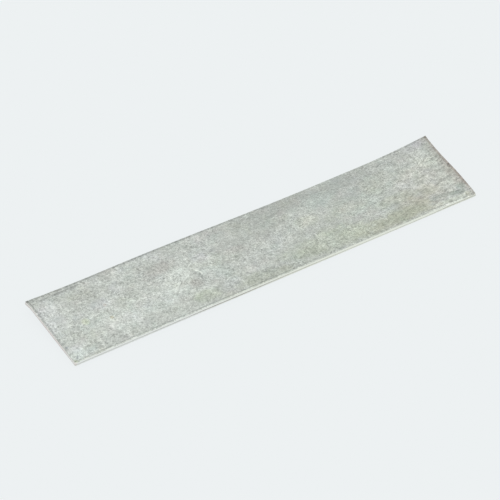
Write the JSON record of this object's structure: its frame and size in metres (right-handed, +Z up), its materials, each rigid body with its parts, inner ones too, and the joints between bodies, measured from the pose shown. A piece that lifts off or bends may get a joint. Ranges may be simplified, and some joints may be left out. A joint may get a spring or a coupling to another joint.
{
  "type": "metal flat bar",
  "caption": "Short, thin flat bar of bare sheet metal with sheared edges, slightly twisted, lying on its flat side.",
  "frame": {"origin": "centre of the bounding box's base, on the floor under the bar", "axes": "+X along the bar, from the left end to the end with the rolled-down near corner; +Y across it, from the edge that rests on the floor all along to the edge that lifts; +Z up, out of the face that is up as it lies"},
  "size_m": [0.1004, 0.0202, 0.0027],
  "materials": {
    "dull_zinc": "bare dull grey metal, mottled, bright on the sheared edges"
  },
  "bodies": {
    "root": {"flat_bar": "dull_zinc"}
  },
  "joints": []
}
